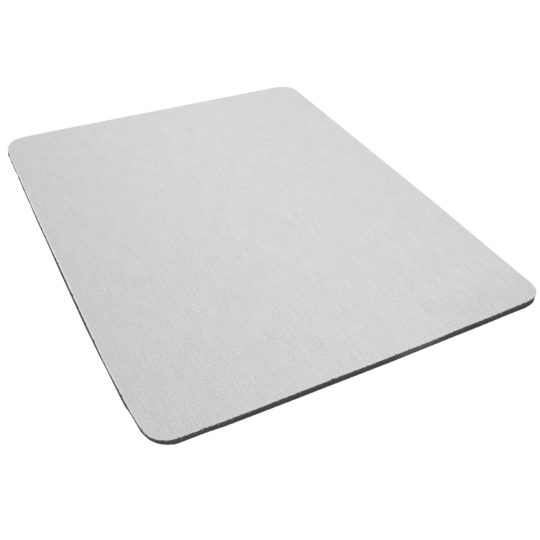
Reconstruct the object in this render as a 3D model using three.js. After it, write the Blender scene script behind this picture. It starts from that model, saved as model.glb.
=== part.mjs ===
// Mouse pad: a knitted cloth face bonded to a sheet of foam rubber, die-cut to a rounded rectangle.
// Millimetres, +Z up. The origin is the centre of the underside, X runs along the short side and
// Y along the long side.
import * as THREE from "three";

// Outline. The bonded sheet is cut through in one stroke, so all layers share it.
const WIDTH = 200; // short side, along X
const LENGTH = 250; // long side, along Y
const CORNER_RADIUS = 13;
const CORNER_STEPS = 16; // straight steps in each quarter-round corner, an even number

// Layers from the desk up. Each one starts at the height where the one below it ends.
const FOAM_THICKNESS = 3.5; // closed-cell foam rubber with a moulded non-slip underside
const FILM_THICKNESS = 0.125; // hot-melt laminating adhesive
const CLOTH_THICKNESS = 0.375; // warp-knitted polyester

const FOAM_BOTTOM = 0;
const FILM_BOTTOM = FOAM_BOTTOM + FOAM_THICKNESS;
const CLOTH_BOTTOM = FILM_BOTTOM + FILM_THICKNESS;

// The cutting die's outline, anticlockwise from the front edge.
function padOutline() {
  const x = WIDTH / 2 - CORNER_RADIUS;
  const y = LENGTH / 2 - CORNER_RADIUS;
  const outline = new THREE.Shape();
  outline.moveTo(-x, -LENGTH / 2);
  outline.lineTo(x, -LENGTH / 2);
  outline.absarc(x, -y, CORNER_RADIUS, -Math.PI / 2, 0, false);
  outline.lineTo(WIDTH / 2, y);
  outline.absarc(x, y, CORNER_RADIUS, 0, Math.PI / 2, false);
  outline.lineTo(-x, LENGTH / 2);
  outline.absarc(-x, y, CORNER_RADIUS, Math.PI / 2, Math.PI, false);
  outline.lineTo(-WIDTH / 2, -y);
  outline.absarc(-x, -y, CORNER_RADIUS, Math.PI, 1.5 * Math.PI, false);
  return outline;
}

// One flat layer of the laminate, from height bottom up by thickness.
function layer(name, bottom, thickness, material) {
  const geometry = new THREE.ExtrudeGeometry(padOutline(), {
    depth: thickness,
    bevelEnabled: false,
    curveSegments: CORNER_STEPS / 2, // an arc gets twice this many steps
  });
  const mesh = new THREE.Mesh(geometry, material);
  mesh.name = name;
  mesh.position.z = bottom;
  return mesh;
}

const foamRubber = new THREE.MeshStandardMaterial({
  color: 0x3c3c3d,
  roughness: 0.92,
  metalness: 0,
});
const adhesive = new THREE.MeshStandardMaterial({
  color: 0x56554f,
  roughness: 0.45,
  metalness: 0,
});
const greyCloth = new THREE.MeshStandardMaterial({
  color: 0xd0d0d0,
  roughness: 0.96,
  metalness: 0,
});

const mousePad = new THREE.Group();
mousePad.name = "mouse_pad";
mousePad.add(
  layer("foam_base", FOAM_BOTTOM, FOAM_THICKNESS, foamRubber),
  layer("bond_film", FILM_BOTTOM, FILM_THICKNESS, adhesive),
  layer("surface_cloth", CLOTH_BOTTOM, CLOTH_THICKNESS, greyCloth),
);

export default mousePad;
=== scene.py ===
import math

import bmesh
import bpy
import numpy as np
from mathutils import Matrix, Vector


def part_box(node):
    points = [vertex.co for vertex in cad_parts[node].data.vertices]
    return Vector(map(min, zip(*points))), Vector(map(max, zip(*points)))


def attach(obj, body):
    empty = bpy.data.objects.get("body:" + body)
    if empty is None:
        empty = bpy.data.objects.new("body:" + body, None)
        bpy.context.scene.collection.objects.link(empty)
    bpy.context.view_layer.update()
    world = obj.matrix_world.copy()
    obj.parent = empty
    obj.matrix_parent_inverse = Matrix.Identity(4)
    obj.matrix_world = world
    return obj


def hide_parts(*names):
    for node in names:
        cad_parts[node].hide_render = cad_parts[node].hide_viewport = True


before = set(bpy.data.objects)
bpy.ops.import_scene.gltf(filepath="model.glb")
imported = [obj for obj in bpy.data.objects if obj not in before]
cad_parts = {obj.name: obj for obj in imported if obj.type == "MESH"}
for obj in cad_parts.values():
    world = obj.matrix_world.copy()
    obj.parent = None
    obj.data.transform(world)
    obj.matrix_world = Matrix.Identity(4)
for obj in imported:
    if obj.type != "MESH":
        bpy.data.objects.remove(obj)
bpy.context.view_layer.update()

# ---------------------------------------------------------------------------
# The pad's sizes, in millimetres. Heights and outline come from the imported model.
# ---------------------------------------------------------------------------
cloth_low, cloth_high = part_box("surface_cloth")
film_low, film_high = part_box("bond_film")
WIDTH = (cloth_high[0] - cloth_low[0]) * 1000  # along X
LENGTH = (cloth_high[1] - cloth_low[1]) * 1000  # along Y
RADIUS = 13.0  # of the four corners
Z_FACE = cloth_high[2] * 1000
Z_CLOTH = cloth_low[2] * 1000
Z_FILM = film_low[2] * 1000

WALE = 1.2  # from one rib of the knit to the next
FURROW = 0.05  # how far the cloth drops between two ribs

CELL_X, CELL_Y = 4.0, 6.4  # one diamond of the moulded underside
GROOVE_HALF, GROOVE_DEPTH = 0.3, 0.12

# ---------------------------------------------------------------------------
# The cut edge: distances along it start at the front left and run anticlockwise.
# ---------------------------------------------------------------------------
FX, FY = WIDTH / 2 - RADIUS, LENGTH / 2 - RADIUS
QUARTER = math.pi / 2 * RADIUS
RUNS = np.cumsum([0, 2 * FX, QUARTER, 2 * FY, QUARTER, 2 * FX, QUARTER, 2 * FY, QUARTER])
EDGE = RUNS[-1]


def edge_at(s):
    """Points of the edge at distances s along it, and which way is out."""
    s = np.mod(np.asarray(s, float), EDGE)
    run = np.clip(np.searchsorted(RUNS, s, side="right") - 1, 0, 7)
    d = s - RUNS[run]
    p, n = np.zeros((len(s), 2)), np.zeros((len(s), 2))
    sides = {
        0: ((-FX, -LENGTH / 2), (1, 0), (0, -1)),
        2: ((WIDTH / 2, -FY), (0, 1), (1, 0)),
        4: ((FX, LENGTH / 2), (-1, 0), (0, 1)),
        6: ((-WIDTH / 2, FY), (0, -1), (-1, 0)),
    }
    corners = {1: ((FX, -FY), -90), 3: ((FX, FY), 0), 5: ((-FX, FY), 90), 7: ((-FX, -FY), 180)}
    for k, (start, way, out) in sides.items():
        m = run == k
        p[m] = np.array(start) + d[m, None] * np.array(way)
        n[m] = out
    for k, (centre, first) in corners.items():
        m = run == k
        a = math.radians(first) + d[m] / RADIUS
        n[m] = np.c_[np.cos(a), np.sin(a)]
        p[m] = np.array(centre) + RADIUS * n[m]
    return p, n


def along_edge(x, y):
    """How far along the edge the point of it nearest to x, y lies."""

    def arc(cx, cy, first):
        return RADIUS * np.mod(np.arctan2(y - cy, x - cx) - math.radians(first), 2 * math.pi)

    right, left, back, front = x > FX, x < -FX, y > FY, y < -FY
    return np.select(
        [right & front, right & back, left & back, left & front, front, right, back, left],
        [
            RUNS[1] + arc(FX, -FY, -90),
            RUNS[3] + arc(FX, FY, 0),
            RUNS[5] + arc(-FX, FY, 90),
            RUNS[7] + arc(-FX, -FY, 180),
            x + FX,
            RUNS[2] + y + FY,
            RUNS[4] + FX - x,
            RUNS[6] + FY - y,
        ],
    )


def edge_steps(across, lengthwise, corner):
    """Distances along the edge, with these steps on its short sides, long sides and corners."""
    found = []
    for k in range(8):
        step = (across, corner, lengthwise, corner)[k % 4]
        n = max(2, round((RUNS[k + 1] - RUNS[k]) / step))
        found.append(RUNS[k] + (RUNS[k + 1] - RUNS[k]) * np.arange(n) / n)
    return np.concatenate(found)


def edge_noise(s, pitch, seed):
    """Smooth noise along the edge, from -1 to 1, that closes on itself."""
    n = max(3, round(EDGE / pitch))
    knots = np.random.default_rng(seed).uniform(-1, 1, n)
    at = np.mod(s, EDGE) / EDGE * n
    i = np.floor(at).astype(int)
    f = at - i
    f = f * f * (3 - 2 * f)
    return knots[i % n] * (1 - f) + knots[(i + 1) % n] * f


def wall_noise(s, z, pitch, rise, seed):
    """The same on the cut side, changing over pitch along the edge and over rise in height."""
    n, m = max(3, round(EDGE / pitch)), int(4 / rise) + 3
    knots = np.random.default_rng(seed).uniform(-1, 1, (m, n))
    at, up = np.mod(s, EDGE) / EDGE * n, np.clip(z / rise, 0, m - 2)
    i, j = np.floor(at).astype(int), np.floor(up).astype(int)
    f, g = at - i, up - j
    f, g = f * f * (3 - 2 * f), g * g * (3 - 2 * g)
    a, b = i % n, (i + 1) % n
    low = knots[j, a] * (1 - f) + knots[j, b] * f
    high = knots[j + 1, a] * (1 - f) + knots[j + 1, b] * f
    return low * (1 - g) + high * g


# The cut isn't quite true. These are distances along the edge, and how far it stands outwards there.
STRAY = (
    (0, -0.62), (10, -0.32), (22, -0.12), (60, 0.0), (105, 0.25), (122, 0.12), (133, -0.22), (150, -0.25), (168, -0.52),
    (176, -0.6), (182, 0.38), (187, 0.65), (191, 0.1), (194, -0.22),
    (206, -0.33), (225, -0.08), (262, 0.35), (300, 0.28), (350, 0.05), (395, -0.27), (419, -0.3),
    (428, 0.85), (436, 0.0), (442, 0.25), (520, 0.25), (570, 0.3), (600, 0.2),
    (613, 0.05), (619, -0.3), (629, -1.35), (632, -1.35), (636, -1.15), (640, -0.88), (645, -0.75), (665, -0.55), (715, -0.1), (812, 0.0), (832, -0.47),
    (850, -1.15), (860, -1.9), (866, -1.15), (872, -0.85),
)  # fmt: skip
# The same for its foot, against the cloth above it: the die leaned a little.
LEAN = (
    (0, -0.25), (10, -0.42), (22, -0.08), (40, 0.0), (60, 0.1), (95, 0.08), (110, -0.05), (122, 0.0), (135, 0.28), (160, 0.2),
    (172, 0.31), (176, 0.42), (178, 0.37), (180, 0.22), (182, 0.27), (184, 0.33), (194, 0.06), (600, 0.06), (620, 0.06), (627, 0.5),
    (631, 0.75), (633, 0.5), (635, 0.25), (638, 0.17), (641, 0.16), (644, -0.1), (647, 0.02), (650, 0.0), (655, -0.3), (660, 0.08),
    (665, 0.03), (672, 0.17), (675, 0.13), (684, 0.13), (688, 0.0), (691, 0.04), (697, 0.14), (723, 0.12),
    (745, 0.3), (770, 0.37), (790, 0.38), (808, 0.11), (822, -0.08), (835, 0.07), (842, 0.13), (850, -0.45), (858, -0.3), (866, -0.85), (872, -0.68),
)  # fmt: skip
# Painted highlight: how much paler the cloth's rolled rim is painted, most along the left side, where light from the
# left catches it.
PAINTED_RIM_HIGHLIGHT = (
    (0, 0.07), (150, 0.07), (185, 0.0), (600, 0.0), (615, 0.05), (640, 0.2), (665, 0.27), (675, 0.31), (692, 0.38), (715, 0.34),
    (740, 0.31), (760, 0.31), (795, 0.27), (830, 0.21), (850, 0.17), (866, 0.1),
)  # fmt: skip
STRAY_REACH = 8.0  # how far in from the edge the layers follow it


def edge_curve(s, knots):
    """A smooth curve through knots of distance along the edge and value, which closes on itself."""
    t, v = np.array(knots, float).T
    t, v = np.r_[t[-2:] - EDGE, t, t[:2] + EDGE], np.r_[v[-2:], v, v[:2]]
    rise = np.diff(v) / np.diff(t)
    both = rise[1:] * rise[:-1]
    slope = np.r_[0, np.where(both > 0, 2 * both / np.where(both > 0, rise[1:] + rise[:-1], 1), 0), 0]  # no overshoot
    s = np.mod(s, EDGE)
    i = np.clip(np.searchsorted(t, s, side="right") - 1, 0, len(t) - 2)
    h = t[i + 1] - t[i]
    f = (s - t[i]) / h
    g = 1 - f
    return (1 + 2 * f) * g * g * v[i] + f * g * g * h * slope[i] + f * f * (3 - 2 * f) * v[i + 1] - f * f * g * h * slope[i + 1]


def shaped(x, y, foot=0.0):
    """Where the point x, y of a true outline's sheet lies on this pad. Foot is 1 at the foot of the cut, 0 at the cloth."""
    x, y = np.asarray(x, float), np.asarray(y, float)
    past_x, past_y = np.abs(x) - FX, np.abs(y) - FY
    corner = (past_x > 0) & (past_y > 0)
    far = np.hypot(past_x, past_y)
    out_x = np.where(corner, past_x / np.maximum(far, 1e-9), past_x > past_y)
    out_y = np.where(corner, past_y / np.maximum(far, 1e-9), past_x <= past_y)
    depth = RADIUS - np.where(corner, far, np.maximum(past_x, past_y))
    follow = np.clip(1 - depth / STRAY_REACH, 0, 1)
    s = along_edge(x, y)
    move = follow * follow * (3 - 2 * follow) * (edge_curve(s, STRAY) + foot * edge_curve(s, LEAN))
    return x + move * out_x * np.sign(x), y + move * out_y * np.sign(y)


# ---------------------------------------------------------------------------
# Building meshes
# ---------------------------------------------------------------------------
MAP_SCALE = 0.96 / LENGTH  # of the texture map, for each millimetre


def flat_place(x, y):
    """The place on the texture map of the piece's large visible face."""
    return np.stack([0.008 + (x + WIDTH / 2) * MAP_SCALE, 0.02 + (y + LENGTH / 2) * MAP_SCALE], -1)


def hidden_place(x, y):
    """The small corner of the texture map for faces that the layers hide."""
    return np.stack([0.815 + (y + LENGTH / 2) * 5e-4, 0.882 + (x + WIDTH / 2) * 5e-4], -1)


class Skin:
    """The points and faces of one piece, in millimetres, and their places on its texture map."""

    def __init__(self):
        self.points, self.faces, self.count = [], [], 0

    def add(self, x, y, z, foot=0.0):
        x, y = shaped(x, y, foot)
        z = z(x, y) if callable(z) else z
        p = np.stack(np.broadcast_arrays(x, y, z), -1).reshape(-1, 3).astype(float)
        self.points.append(p)
        self.count += len(p)
        return np.arange(self.count - len(p), self.count)

    def put(self, corners, places, smooth=True):
        self.faces.append((np.asarray(corners), np.asarray(places, float), smooth))

    def xy(self, index):
        p = np.concatenate(self.points)[index]
        return p[..., 0], p[..., 1]

    def band(self, a, b, place=None, s=None, heights=None, strip=0.03, smooth=True):
        """Quads from ring a to ring b, which have as many points. Their places are flat, or in four strips of the map."""
        a2, b2 = np.roll(a, -1), np.roll(b, -1)
        quads = np.stack([a, a2, b2, b], 1)
        if place is not None:
            places = place(*self.xy(quads))
        else:
            end = np.r_[s[1:], EDGE]
            part = np.minimum((s / EDGE * 4).astype(int), 3)
            start = part * EDGE / 4
            v1, v2 = 0.02 + (s - start) * MAP_SCALE, 0.02 + (end - start) * MAP_SCALE
            u = 0.80 + part * (strip + 0.008)
            u1, u2 = u + heights[0] * strip, u + heights[1] * strip
            places = np.stack([np.stack([u1, v1], 1), np.stack([u1, v2], 1), np.stack([u2, v2], 1), np.stack([u2, v1], 1)], 1)
        self.put(quads, places, smooth)

    def bridge(self, outer, outer_s, inner, inner_s, place, up=True, smooth=True):
        """Triangles between two rings with different numbers of points."""
        o, n = np.argsort(outer_s), np.argsort(inner_s)
        outer, outer_s, inner, inner_s = outer[o], outer_s[o], inner[n], inner_s[n]
        so, sn = np.r_[outer_s, outer_s[0] + EDGE], np.r_[inner_s, inner_s[0] + EDGE]
        i, j, found = 0, 0, []
        while i < len(outer) or j < len(inner):
            if j == len(inner) or (i < len(outer) and so[i + 1] <= sn[j + 1]):
                found.append((outer[i], outer[(i + 1) % len(outer)], inner[j % len(inner)]))
                i += 1
            else:
                found.append((outer[i % len(outer)], inner[(j + 1) % len(inner)], inner[j]))
                j += 1
        found = np.array(found)
        if not up:
            found = found[:, ::-1]
        self.put(found, place(*self.xy(found)), smooth)

    def cap(self, ring, place, up=True):
        """One flat face across a ring."""
        ring = (ring if up else ring[::-1])[None]
        self.put(ring, place(*self.xy(ring)), False)

    def build(self, name, material):
        mesh = bpy.data.meshes.new(name)
        points = np.concatenate(self.points) / 1000
        mesh.vertices.add(len(points))
        mesh.vertices.foreach_set("co", points.astype(np.float32).ravel())
        corners = np.concatenate([f[0].ravel() for f in self.faces])
        places = np.concatenate([f[1].reshape(-1, 2) for f in self.faces])
        totals = np.concatenate([np.full(len(f[0]), f[0].shape[1]) for f in self.faces])
        smooth = np.concatenate([np.full(len(f[0]), f[2]) for f in self.faces])
        mesh.loops.add(len(corners))
        mesh.loops.foreach_set("vertex_index", corners.astype(np.int32))
        mesh.polygons.add(len(totals))
        mesh.polygons.foreach_set("loop_start", np.r_[0, np.cumsum(totals)[:-1]].astype(np.int32))
        mesh.polygons.foreach_set("loop_total", totals.astype(np.int32))
        mesh.polygons.foreach_set("use_smooth", smooth)
        mesh.uv_layers.new(name="OFBake").data.foreach_set("uv", places.astype(np.float32).ravel())
        mesh.update(calc_edges=True)
        mesh.validate()
        mesh.materials.append(material)
        piece = bpy.data.objects.new(name, mesh)
        bpy.context.scene.collection.objects.link(piece)
        return piece


# ---------------------------------------------------------------------------
# Materials
# ---------------------------------------------------------------------------
class Shader:
    """A procedural material and the few kinds of node that it is put together from."""

    def __init__(self, name):
        self.material = bpy.data.materials.new(name)
        self.material.use_nodes = True
        self.tree = self.material.node_tree
        self.shader = self.tree.nodes["Principled BSDF"]

    def link(self, value, socket):
        if isinstance(value, (int, float)):
            socket.default_value = value
        else:
            self.tree.links.new(value, socket)

    def maths(self, operation, *values, clamp=False):
        node = self.tree.nodes.new("ShaderNodeMath")
        node.operation, node.use_clamp = operation, clamp
        for value, socket in zip(values, node.inputs):
            self.link(value, socket)
        return node.outputs[0]

    def add(self, *values):
        total = values[0]
        for value in values[1:]:
            total = self.maths("ADD", total, value)
        return total

    def times(self, a, b):
        return self.maths("MULTIPLY", a, b)

    def smooth(self, value, low, high, to_low=0.0, to_high=1.0):
        node = self.tree.nodes.new("ShaderNodeMapRange")
        node.interpolation_type = "SMOOTHSTEP"
        for k, v in {"Value": value, "From Min": low, "From Max": high, "To Min": to_low, "To Max": to_high}.items():
            self.link(v, node.inputs[k])
        return node.outputs[0]

    def millimetres(self):
        """X, Y and Z on the piece, in millimetres."""
        where = self.tree.nodes.new("ShaderNodeTexCoord")
        apart = self.tree.nodes.new("ShaderNodeSeparateXYZ")
        self.tree.links.new(where.outputs["Object"], apart.inputs[0])
        return [self.times(apart.outputs[k], 1000.0) for k in range(3)]

    def stored(self, name):
        """The value that the mesh holds under this name at each of its points."""
        node = self.tree.nodes.new("ShaderNodeAttribute")
        node.attribute_name = name
        return node.outputs["Fac"]

    def vector(self, x, y, z=0.0):
        node = self.tree.nodes.new("ShaderNodeCombineXYZ")
        for value, socket in zip((x, y, z), node.inputs):
            self.link(value, socket)
        return node.outputs[0]

    def noise(self, vector, detail=2.0, roughness=0.5):
        node = self.tree.nodes.new("ShaderNodeTexNoise")
        node.inputs["Scale"].default_value = 1.0
        node.inputs["Detail"].default_value = detail
        node.inputs["Roughness"].default_value = roughness
        self.tree.links.new(vector, node.inputs["Vector"])
        return self.maths("SUBTRACT", node.outputs["Fac"], 0.5)

    def white(self, vector):
        node = self.tree.nodes.new("ShaderNodeTexWhiteNoise")
        node.noise_dimensions = "2D"
        self.tree.links.new(vector, node.inputs["Vector"])
        return self.maths("SUBTRACT", node.outputs["Value"], 0.5)

    def cells(self, vector):
        node = self.tree.nodes.new("ShaderNodeTexVoronoi")
        node.inputs["Scale"].default_value = 1.0
        self.tree.links.new(vector, node.inputs["Vector"])
        return node.outputs["Distance"]

    def bump(self, height, distance, strength=1.0):
        node = self.tree.nodes.new("ShaderNodeBump")
        node.inputs["Strength"].default_value = strength
        node.inputs["Distance"].default_value = distance
        self.tree.links.new(height, node.inputs["Height"])
        self.tree.links.new(node.outputs["Normal"], self.shader.inputs["Normal"])

    def grey(self, value):
        node = self.tree.nodes.new("ShaderNodeCombineColor")
        for socket in node.inputs[:3]:
            self.link(value, socket)
        self.tree.links.new(node.outputs[0], self.shader.inputs["Base Color"])


TURN = 2 * math.pi
# how the ribs wander sideways: amplitude, wavelength along Y, swing of phase, wavelength along X
WANDER = ((0.15, 87.0, 1.3, 71.0), (0.08, 31.0, 2.1, 43.0))


def knit_material():
    m = Shader("light_grey_knit")
    x, y, z = m.millimetres()
    drift = [
        m.times(m.maths("SINE", m.add(m.times(y, TURN / wy), m.times(m.maths("SINE", m.times(x, TURN / wx)), swing))), size)
        for size, wy, swing, wx in WANDER
    ]
    wale = m.times(m.add(x, *drift, WIDTH / 2 - 1.6), 1 / WALE)
    across = m.maths("ABSOLUTE", m.maths("SUBTRACT", m.times(m.maths("FRACT", wale), 2.0), 1.0))  # 0 on a rib, 1 in a furrow
    rib = m.smooth(across, 1.0, 0.0)
    course = m.maths("SUBTRACT", m.times(y, 1 / 0.95), m.times(across, 0.8))  # each stitch is a V of two slanting legs
    leg = m.maths("SUBTRACT", m.times(m.maths("FRACT", course), 2.0), 1.0)
    yarn = m.times(m.maths("SUBTRACT", 1.0, m.times(leg, leg)), m.add(m.times(rib, 0.6), 0.4))

    def even(size_x, size_y):
        """A tone for each cell of the knit, set against its neighbours, so the tones don't gather in blots."""
        i, j = m.maths("FLOOR", m.times(wale, size_x)), m.maths("FLOOR", m.times(course, size_y))
        tone = m.white(m.vector(i, j))
        for di, dj in ((1.0, 0.0), (-1.0, 0.0), (0.0, 1.0), (0.0, -1.0)):
            tone = m.add(tone, m.times(m.white(m.vector(m.add(i, di), m.add(j, dj))), -0.2))
        return tone

    stitch, ply = even(2.0, 1.0), even(3.0, 2.0)
    streak = m.noise(m.vector(m.times(wale, 1.4), m.times(y, 0.07), 1.9), 1.0, 0.5)  # thicker and thinner yarn along the ribs
    fuzz = m.noise(m.vector(m.times(x, 3.2), m.times(y, 1.7), m.times(z, 3.2)), 2.0, 0.6)
    fibre = m.noise(m.vector(m.times(x, 7.0), m.times(y, 2.6), m.times(z, 7.0)), 2.0, 0.6)
    cloudy = m.noise(m.vector(m.times(x, 0.17), m.times(y, 0.11), 3.7), 3.0, 0.55)
    painted_corner_shade = m.times(m.smooth(y, -97.0, -117.0, 0.0, -0.042), m.smooth(x, 28.0, 64.0))  # painted shade: the face is painted faintly darker at the front right corner
    tone = m.add(
        painted_corner_shade,
        m.times(stitch, 0.09),
        m.times(ply, 0.24),
        m.times(streak, 0.14),
        m.times(fuzz, 0.12),
        m.times(fibre, 0.08),
        m.times(cloudy, 0.09),
        # painted shade: the yarn term darkens the furrows between ribs and the gaps between the stitches
        m.times(yarn, 0.08),
        0.935,
    )
    # painted highlight: the rim stored on the mesh is painted paler
    tone = m.times(tone, m.add(m.stored("painted_rim_highlight"), 1.0))
    soaked = m.smooth(z, Z_CLOTH, Z_CLOTH + 0.26, 0.4, 1.0)  # adhesive darkens the lower yarn of the cut edge
    m.grey(m.times(m.times(tone, soaked), 0.645))
    m.link(m.add(m.times(fuzz, 0.14), m.times(yarn, -0.06), 0.95), m.shader.inputs["Roughness"])
    m.shader.inputs["Specular IOR Level"].default_value = 0.2
    m.shader.inputs["Sheen Weight"].default_value = 0.1
    m.shader.inputs["Sheen Roughness"].default_value = 0.5
    m.bump(m.add(m.times(yarn, 0.7), m.times(fuzz, 0.5), m.times(fibre, 0.4)), 0.00004)
    return m.material


def foam_material():
    m = Shader("charcoal_foam_rubber")
    x, y, z = m.millimetres()
    cell = m.cells(m.vector(m.times(x, 3.1), m.times(y, 3.1), m.times(z, 3.1)))
    pore = m.smooth(cell, 0.08, 0.42)  # 0 in the middle of a cut cell
    grain = m.noise(m.vector(m.times(x, 1.3), m.times(y, 1.3), m.times(z, 2.0)), 4.0, 0.6)
    patch = m.noise(m.vector(m.times(x, 0.09), m.times(y, 0.09), 8.2), 2.0, 0.5)
    drag = m.noise(m.vector(m.times(x, 2.4), m.times(y, 2.4), m.times(z, 0.25)), 2.0, 0.5)  # the die's drag marks
    skin = m.smooth(z, 0.2, 1.1, 1.0, 0.0)  # 1 at the moulded underside, fading out up the cut, so the cut is darker towards its foot
    rubbed = m.smooth(m.maths("ABSOLUTE", m.add(x, -25.0)), 5.0, 19.0, 1.0, 0.0)  # a paler, rubbed stretch of the front edge
    rubbed = m.times(rubbed, m.maths("LESS_THAN", y, 1.0 - LENGTH / 2))
    paler_top = m.smooth(z, Z_FILM - 1.7, Z_FILM - 0.1, 0.0, 0.5)  # the cut is paler towards its top
    # the pore term paints shade: darker in the middle of each cut cell
    cut = m.add(m.times(grain, 0.9), m.times(patch, 0.7), m.times(drag, 0.45), m.times(pore, 0.5), rubbed, paler_top, 0.93)
    away = [
        m.maths("ABSOLUTE", m.maths("SUBTRACT", m.maths("FRACT", m.add(m.times(x, 1 / CELL_X), m.times(y, k / CELL_Y), 0.5)), 0.5))
        for k in (1.0, -1.0)
    ]
    groove_shade = m.smooth(m.times(m.maths("MINIMUM", *away), 1 / SLANT), 0.08, 0.5, -0.26, 0.08)  # painted shade: darker in the grooves, a little paler on the diamonds
    moulded = m.add(m.times(grain, 0.4), m.times(patch, 0.35), groove_shade, 0.74)
    tone = m.add(m.times(cut, m.maths("SUBTRACT", 1.0, skin)), m.times(moulded, skin))
    m.grey(m.times(tone, 0.038))
    m.link(m.add(m.times(grain, 0.15), m.times(skin, -0.16), 0.9), m.shader.inputs["Roughness"])
    m.shader.inputs["Specular IOR Level"].default_value = 0.3
    m.bump(m.add(m.times(pore, 0.8), m.times(grain, 0.7), m.times(drag, 0.4)), 0.00006)
    return m.material


def yarn_material():
    m = Shader("loose_grey_yarn")
    x, y, z = m.millimetres()
    twist = m.noise(m.vector(m.times(x, 9.0), m.times(y, 9.0), m.times(z, 4.0)), 2.0, 0.6)
    tint = m.noise(m.vector(m.times(x, 0.4), m.times(y, 0.4), 5.3), 1.0, 0.5)
    m.grey(m.add(m.times(twist, 0.2), m.times(tint, 0.25), 0.58))
    m.link(m.add(m.times(twist, 0.2), 0.9), m.shader.inputs["Roughness"])
    m.shader.inputs["Specular IOR Level"].default_value = 0.2
    m.bump(twist, 0.00002)
    return m.material


def film_material():
    m = Shader("dried_hot_melt")
    x, y, z = m.millimetres()
    blot = m.noise(m.vector(m.times(x, 0.8), m.times(y, 0.8), m.times(z, 3.0)), 3.0, 0.55)
    fine = m.noise(m.vector(m.times(x, 5.0), m.times(y, 5.0), m.times(z, 5.0)), 2.0, 0.5)
    m.grey(m.add(m.times(blot, 0.06), m.times(fine, 0.02), 0.075))
    m.link(m.add(m.times(blot, 0.3), 0.46), m.shader.inputs["Roughness"])
    m.bump(m.add(blot, m.times(fine, 0.4)), 0.00003)
    return m.material


# ---------------------------------------------------------------------------
# The knitted face: ribs along Y, a rolled and slightly ragged cut edge
# ---------------------------------------------------------------------------
def face_height(x, y):
    drift = sum(size * np.sin(TURN * y / wy + swing * np.sin(TURN * x / wx)) for size, wy, swing, wx in WANDER)
    furrow = 0.5 + 0.5 * np.cos(TURN * (x + drift + WIDTH / 2 - 1.6) / WALE)
    swell = 0.02 * np.sin(TURN * x / 63 + 1.1) * np.sin(TURN * y / 78 + 0.4) + 0.012 * np.sin(TURN * (x + y) / 47)
    return Z_FACE - FURROW * furrow + swell


def cloth_lip(s):
    """How far the cut yarn hangs below the cloth's underside."""
    return np.clip(0.06 + 0.07 * edge_noise(s, 3.9, 11) + 0.04 * edge_noise(s, 1.3, 12), 0, 0.2)


def knit_face(material):
    skin = Skin()
    inset = 1.6
    wide, long, r = WIDTH / 2 - inset, LENGTH / 2 - inset, RADIUS - inset
    x = np.linspace(-wide, wide, round(2 * wide / WALE) * 5 + 1)
    reach = long - r + np.sqrt(np.maximum(r * r - np.maximum(np.abs(x) - (wide - r), 0) ** 2, 0))
    t = np.linspace(-1, 1, 65)
    gx, gy = np.broadcast_to(x, (65, len(x))), t[:, None] * reach
    grid = skin.add(gx, gy, face_height).reshape(gx.shape)
    quads = np.stack([grid[:-1, :-1], grid[:-1, 1:], grid[1:, 1:], grid[1:, :-1]], -1).reshape(-1, 4)
    skin.put(quads, flat_place(*skin.xy(quads)))
    border = np.concatenate([grid[0, :], grid[1:, -1], grid[-1, -2::-1], grid[-2:0:-1, 0]])
    border_s = along_edge(*skin.xy(border))

    s = edge_steps(0.3, 0.4, 0.35)
    p, n = edge_at(s)
    rng = np.random.default_rng(21)
    ragged = 0.05 + 0.05 * edge_noise(s, 1.1, 1) + 0.05 * edge_noise(s, 3.7, 2) + 0.04 * edge_noise(s, 16, 3)
    for at, size, half in zip(rng.uniform(0, EDGE, 120), rng.uniform(0.1, 0.3, 120), rng.uniform(0.3, 0.6, 120)):
        away = np.abs((s - at + EDGE / 2) % EDGE - EDGE / 2)
        ragged -= size * np.clip(1 - (away / half) ** 2, 0, 1)
    lip, roll = cloth_lip(s), 0.2

    def ring(inward, z):
        q = p + ((ragged * max(0.0, 1 - inward / 0.6)) - inward)[:, None] * n
        return skin.add(q[:, 0], q[:, 1], z)

    under = [ring(0.4, Z_CLOTH + 0.001), ring(0.14, Z_CLOTH - 0.3 * lip)]
    wall = [
        ring(0.03, Z_CLOTH - lip),
        ring(-0.02, Z_CLOTH + 0.03 - 0.6 * lip),
        ring(-0.03, Z_CLOTH + 0.10 - 0.2 * lip),
        ring(0.0, lambda a, b: face_height(a, b) - roll),
    ]
    top = [
        ring(a, lambda u, v, a=a: face_height(u, v) - (roll - math.sqrt(max(0.0, roll**2 - max(0.0, roll - a) ** 2))))
        for a in (0.025, 0.08, 0.17, 0.3, 0.5, 0.8, 1.2)
    ]
    skin.cap(under[0], hidden_place, up=False)
    skin.band(under[0], under[1], hidden_place)
    skin.band(under[1], wall[0], s=s, heights=(0.0, 0.25), strip=0.012)
    for k, (a, b) in enumerate(zip(wall, wall[1:])):
        skin.band(a, b, s=s, heights=(0.25 + k * 0.25, 0.5 + k * 0.25), strip=0.012)
    for a, b in zip([wall[-1], *top], top):
        skin.band(a, b, flat_place)
    skin.bridge(top[-1], s, border, border_s, flat_place)
    piece = skin.build("knit_face", material)
    # painted highlight: a paler tone for the rolled rim, fading in from the cut
    painted_rim_highlight = np.zeros(skin.count)
    for index, share in zip(top, (0.3, 0.8, 1.0, 1.0, 0.45, 0.05, 0.0)):
        painted_rim_highlight[index] = share * edge_curve(s, PAINTED_RIM_HIGHLIGHT)
    piece.data.attributes.new("painted_rim_highlight", "FLOAT", "POINT").data.foreach_set("value", painted_rim_highlight.astype(np.float32))
    return piece


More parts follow.
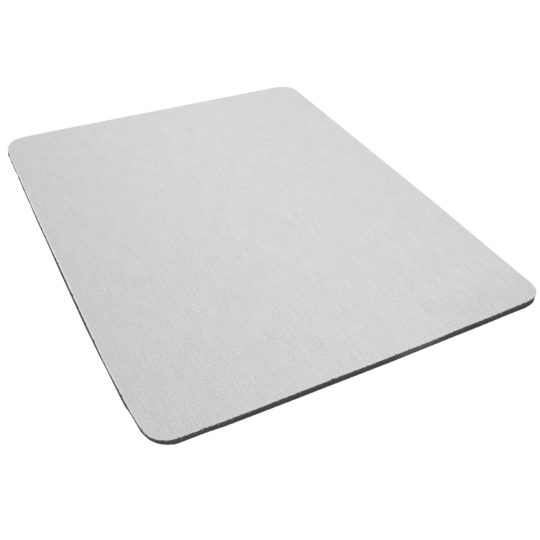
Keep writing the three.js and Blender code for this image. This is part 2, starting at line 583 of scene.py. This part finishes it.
# ---------------------------------------------------------------------------
# The adhesive: a thin uneven bead at the edge, between cloth and foam
# ---------------------------------------------------------------------------
def glue_film(material):
    skin = Skin()
    s = edge_steps(0.5, 0.5, 0.4)
    p, n = edge_at(s)
    creep = 0.035 * edge_noise(s, 2.3, 31) + 0.02 * edge_noise(s, 0.8, 32)
    rings = []
    for inward, z in ((0.5, 0.003), (0.12, 0.006), (0.085, 0.03), (0.09, 0.06), (0.15, 0.085), (0.5, 0.118)):
        q = p - (inward - creep * (inward < 0.2))[:, None] * n
        rings.append(skin.add(q[:, 0], q[:, 1], Z_FILM + z))
    skin.cap(rings[0], hidden_place, up=False)
    skin.band(rings[0], rings[1], hidden_place)
    for k, (a, b) in enumerate(zip(rings[1:-1], rings[2:-1])):
        skin.band(a, b, s=s, heights=(k / 3, (k + 1) / 3))
    skin.band(rings[-2], rings[-1], flat_place)
    skin.cap(rings[-1], flat_place)
    return skin.build("glue_film", material)


# ---------------------------------------------------------------------------
# The foam sheet: a die-cut side with open cells, and a diamond grip pattern underneath
# ---------------------------------------------------------------------------
SLANT = math.hypot(1 / CELL_X, 1 / CELL_Y)


def groove_at(x, y):
    """How deep the underside's grooves are at x, y."""
    u, v = x / CELL_X + y / CELL_Y, x / CELL_X - y / CELL_Y
    away = np.minimum(np.abs(u - np.round(u)), np.abs(v - np.round(v))) / SLANT
    return GROOVE_DEPTH * np.clip(1 - away / GROOVE_HALF, 0, 1)


def grip_pattern(inset):
    """The underside as points and faces: diamonds between V grooves, cut to the outline less inset."""
    wide, long, r = WIDTH / 2 - inset, LENGTH / 2 - inset, RADIUS - inset
    most = math.ceil(WIDTH / 2 / CELL_X + LENGTH / 2 / CELL_Y) + 1
    whole, half = np.arange(-most, most + 1, dtype=float), GROOVE_HALF * SLANT
    lines = np.sort(np.concatenate([whole - half, whole, whole + half]))
    u, v = np.meshgrid(lines, lines, indexing="ij")
    x, y = (u + v) / 2 * CELL_X, (u - v) / 2 * CELL_Y
    index = np.arange(u.size).reshape(u.shape)
    quads = np.stack([index[:-1, :-1], index[:-1, 1:], index[1:, 1:], index[1:, :-1]], -1).reshape(-1, 4)
    qx, qy = x.ravel()[quads], y.ravel()[quads]
    inside = (qx.max(1) > -wide) & (qx.min(1) < wide) & (qy.max(1) > -long) & (qy.min(1) < long)
    used, quads = np.unique(quads[inside], return_inverse=True)
    x, y = x.ravel()[used], y.ravel()[used]
    mesh = bpy.data.meshes.new("grip_pattern")
    mesh.from_pydata(np.c_[x, y, groove_at(x, y)].tolist(), [], quads.reshape(-1, 4).tolist())
    bm = bmesh.new()
    bm.from_mesh(mesh)
    bpy.data.meshes.remove(mesh)

    def cut(faces, point, out):
        geometry = {g for f in faces for g in (f, *f.edges, *f.verts)}
        bmesh.ops.bisect_plane(bm, geom=list(geometry), dist=1e-5, plane_co=(*point, 0), plane_no=(*out, 0), clear_outer=True)

    for point, out in (((wide, 0), (1, 0)), ((-wide, 0), (-1, 0)), ((0, long), (0, 1)), ((0, -long), (0, -1))):
        reach = point[0] * out[0] + point[1] * out[1] - 8
        near = [f for f in bm.faces if max(q.co.x * out[0] + q.co.y * out[1] for q in f.verts) > reach]
        cut(near, point, out)
    steps = 20
    for sx in (-1, 1):
        for sy in (-1, 1):
            for k in range(steps):
                a = (k + 0.5) / steps * math.pi / 2
                out = (sx * math.cos(a), sy * math.sin(a))
                d = r * math.cos(math.pi / 4 / steps)
                near = [f for f in bm.faces if max(q.co.x * sx for q in f.verts) > FX and max(q.co.y * sy for q in f.verts) > FY]
                cut(near, (sx * FX + out[0] * d, sy * FY + out[1] * d), out)
    bmesh.ops.recalc_face_normals(bm, faces=bm.faces[:])
    if sum(f.normal.z for f in bm.faces) > 0:
        bmesh.ops.reverse_faces(bm, faces=bm.faces[:])
    bm.verts.index_update()
    points = np.array([q.co[:] for q in bm.verts])
    faces = [[q.index for q in f.verts] for f in bm.faces]
    rim = np.array([q.index for q in bm.verts if q.is_boundary])
    bm.free()
    return points, faces, rim


def foam_sheet(material):
    skin = Skin()
    points, faces, rim = grip_pattern(0.2)
    skin.add(points[:, 0], points[:, 1], points[:, 2], foot=1.0)
    for count in sorted({len(f) for f in faces}):
        same = np.array([f for f in faces if len(f) == count])
        skin.put(same, flat_place(*skin.xy(same)), False)

    s = edge_steps(0.28, 0.28, 0.28)
    p, n = edge_at(s)
    shares = np.array([0.004, 0.02, 0.055, 0.12, 0.2, 0.285, 0.37, 0.455, 0.54, 0.625, 0.71, 0.795, 0.87, 0.93, 0.972, 0.992])
    trim = np.array([0.045, 0.015, 0.004] + [0.0] * 10 + [0.0, 0.006, 0.02])
    rim_xy = p - 0.1 * n
    low = groove_at(rim_xy[:, 0], rim_xy[:, 1])
    z = low * (1 - shares[:, None]) + (Z_FILM - 0.002) * shares[:, None]
    along = np.broadcast_to(s, z.shape)
    middle = 1 - ((z - Z_FILM / 2) / (Z_FILM / 2)) ** 2
    inward = (
        0.04
        + trim[:, None]
        + 0.09 * middle
        + 0.025 * edge_noise(along, 21, 41)
        + 0.012 * edge_noise(along, 0.7, 42)
        + middle * (0.02 * wall_noise(along, z, 0.9, 0.5, 43) + 0.015 * wall_noise(along, z, 0.5, 0.3, 44))
    )
    rng = np.random.default_rng(45)
    dent = np.zeros_like(z)
    for at, up, size, depth in zip(rng.uniform(0, EDGE, 1000), rng.uniform(0.4, Z_FILM - 0.25, 1000), rng.uniform(0.2, 0.45, 1000), rng.uniform(0.2, 0.42, 1000)):
        away = np.abs((s - at + EDGE / 2) % EDGE - EDGE / 2)
        near = np.flatnonzero(away < size)
        bowl = 1 - (away[near] ** 2 + (z[:, near] - up) ** 2) / size**2
        dent[:, near] = np.maximum(dent[:, near], size * depth * np.clip(bowl, 0, 1))
    inward = inward + dent
    rings = [skin.add(p[:, 0] - d * n[:, 0], p[:, 1] - d * n[:, 1], h, 1 - h / Z_FILM) for d, h in zip(inward, z)]
    skin.bridge(rings[0], s, rim, along_edge(*skin.xy(rim)), flat_place, up=False, smooth=False)
    for k, (a, b) in enumerate(zip(rings, rings[1:])):
        skin.band(a, b, s=s, heights=(shares[k], shares[k + 1]), strip=0.038)
    skin.cap(rings[-1], hidden_place)
    return skin.build("foam_sheet", material)


# ---------------------------------------------------------------------------
# Loose yarn: short ends of the knit that the die left hanging over the cut
# ---------------------------------------------------------------------------
def loose_yarn(material):
    skin = Skin()
    rng = np.random.default_rng(61)
    count, sides = 240, 5
    s = (np.arange(count) + rng.uniform(0, 0.9, count)) / count * EDGE
    p, n = edge_at(s)
    along = np.c_[-n[:, 1], n[:, 0], np.zeros(count)]
    out = np.c_[n, np.zeros(count)]
    drop = np.where(rng.uniform(0, 1, count) < 0.3, rng.uniform(0.5, 0.85, count), rng.uniform(0.25, 0.5, count))
    drift = rng.uniform(-0.7, 0.7, count) * drop
    first = np.c_[p, Z_CLOTH + rng.uniform(0.08, 0.24, count)]
    radius = rng.uniform(0.065, 0.125, count)
    # each end comes out of the cloth, bends over the edge and hangs
    outs = np.array([-0.3, 0.0, 0.15, 0.23, 0.26, 0.25])
    downs = np.array([0.0, 0.03, 0.16, 0.44, 0.75, 1.0])
    sideways = np.array([-0.1, 0.03, 0.12, 0.4, 0.75, 1.0])
    line = first[:, None] + outs[:, None] * out[:, None] + (sideways * drift[:, None])[..., None] * along[:, None]
    line[..., 2] -= downs * drop[:, None]
    line[:, 1:, :2] += rng.normal(0, 0.012, (count, 5, 2))
    ahead = np.gradient(line, axis=1)
    ahead /= np.linalg.norm(ahead, axis=2, keepdims=True)
    a = along[:, None] - (along[:, None] * ahead).sum(2, keepdims=True) * ahead
    a /= np.linalg.norm(a, axis=2, keepdims=True)
    b = np.cross(ahead, a)
    turn = TURN * np.arange(sides) / sides
    size = radius[:, None] * np.array([1.0, 1.0, 1.0, 0.95, 0.85, 0.6])
    ring = size[..., None, None] * (np.cos(turn)[:, None] * a[:, :, None] + np.sin(turn)[:, None] * b[:, :, None])
    tube = line[:, :, None] + ring
    index = skin.add(tube[..., 0], tube[..., 1], tube[..., 2]).reshape(tube.shape[:3])

    # every end has its own cell of the texture map
    cell = np.stack([np.arange(count) % 16, np.arange(count) // 16], -1)[:, None, None]
    u, v = np.meshgrid(0.08 + 0.8 * np.arange(sides + 1) / sides, 0.08 + 0.8 * np.arange(6) / 5)
    spot = (cell + np.stack([u, v], -1)) / 16
    after = np.roll(index, -1, axis=2)
    quads = np.stack([index[:, :-1], after[:, :-1], after[:, 1:], index[:, 1:]], -1)
    places = np.stack([spot[:, :-1, :-1], spot[:, :-1, 1:], spot[:, 1:, 1:], spot[:, 1:, :-1]], -2)
    skin.put(quads.reshape(-1, 4), places.reshape(-1, 4, 2))
    small = 0.035 * np.stack([np.cos(turn), np.sin(turn)], -1)
    skin.put(index[:, 0, ::-1], (cell[:, 0] + np.array([0.3, 0.945]) + small[::-1]) / 16)
    skin.put(index[:, -1], (cell[:, 0] + np.array([0.6, 0.945]) + small) / 16)
    return skin.build("loose_yarn", material)


foam = foam_sheet(foam_material())
film = glue_film(film_material())
cloth = knit_face(knit_material())
yarn = loose_yarn(yarn_material())

for piece, node, slot in (
    (foam, "foam_base", "foam_rubber"),
    (film, "bond_film", "adhesive"),
    (cloth, "surface_cloth", "grey_cloth"),
):
    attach(piece, "root")
    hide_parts(node)

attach(yarn, "root")

# ---------------------------------------------------------------------------
# Studio: a white floor and surround, and one long softbox over the pad
# ---------------------------------------------------------------------------
scene = bpy.context.scene
scene.view_settings.view_transform = "Standard"
scene.view_settings.look = "None"
scene.cycles.use_denoising = False  # it would smooth the knit away

world = bpy.data.worlds.new("white_surround")
scene.world = world
world.use_nodes = True
tree = world.node_tree
lit = tree.nodes["Background"]
lit.inputs["Color"].default_value = (1, 1, 1, 1)
lit.inputs["Strength"].default_value = 0.55
seen = tree.nodes.new("ShaderNodeBackground")
seen.inputs["Color"].default_value = (1, 1, 1, 1)
rays = tree.nodes.new("ShaderNodeLightPath")
either = tree.nodes.new("ShaderNodeMixShader")
tree.links.new(rays.outputs["Is Camera Ray"], either.inputs[0])
tree.links.new(lit.outputs[0], either.inputs[1])
tree.links.new(seen.outputs[0], either.inputs[2])
tree.links.new(either.outputs[0], tree.nodes["World Output"].inputs["Surface"])

floor_mesh = bpy.data.meshes.new("floor")
floor_mesh.from_pydata([(-4, -4, -2e-5), (4, -4, -2e-5), (4, 4, -2e-5), (-4, 4, -2e-5)], [], [(0, 1, 2, 3)])
floor = bpy.data.objects.new("floor", floor_mesh)
scene.collection.objects.link(floor)
paper = bpy.data.materials.new("white_paper")
paper.use_nodes = True
tree = paper.node_tree
tree.nodes.remove(tree.nodes["Principled BSDF"])
glow = tree.nodes.new("ShaderNodeEmission")
glow.inputs["Strength"].default_value = 1.0
clear = tree.nodes.new("ShaderNodeBsdfTransparent")
side = tree.nodes.new("ShaderNodeNewGeometry")
either = tree.nodes.new("ShaderNodeMixShader")
tree.links.new(side.outputs["Backfacing"], either.inputs[0])
tree.links.new(glow.outputs[0], either.inputs[1])
tree.links.new(clear.outputs[0], either.inputs[2])
tree.links.new(either.outputs[0], tree.nodes["Material Output"].inputs["Surface"])
paper.cycles.emission_sampling = "NONE"
floor_mesh.materials.append(paper)

softbox = bpy.data.lights.new("softbox", "AREA")
softbox.shape = "RECTANGLE"
softbox.size, softbox.size_y = 0.05, 0.757
softbox.energy = 1.42
lamp = bpy.data.objects.new("softbox", softbox)
lamp.matrix_world = Matrix.Translation((-0.067, 0.048, 0.35)) @ Matrix.Rotation(-0.9, 4, "Y")
lamp.visible_camera = False
scene.collection.objects.link(lamp)

camera_data = bpy.data.cameras.new("camera")
camera_data.sensor_width = 36.0
camera_data.lens = 46.62697
camera_data.clip_start, camera_data.clip_end = 0.01, 20
camera = bpy.data.objects.new("camera", camera_data)
camera.matrix_world = Matrix(
    (
        (0.8830415, 0.2727496, -0.3818971, -0.139308),
        (-0.4677903, 0.5766807, -0.6697848, -0.278962),
        (0.0375491, 0.7700955, 0.6368226, 0.219406),
        (0, 0, 0, 1),
    )
)
scene.collection.objects.link(camera)
scene.camera = camera

bpy.context.view_layer.update()
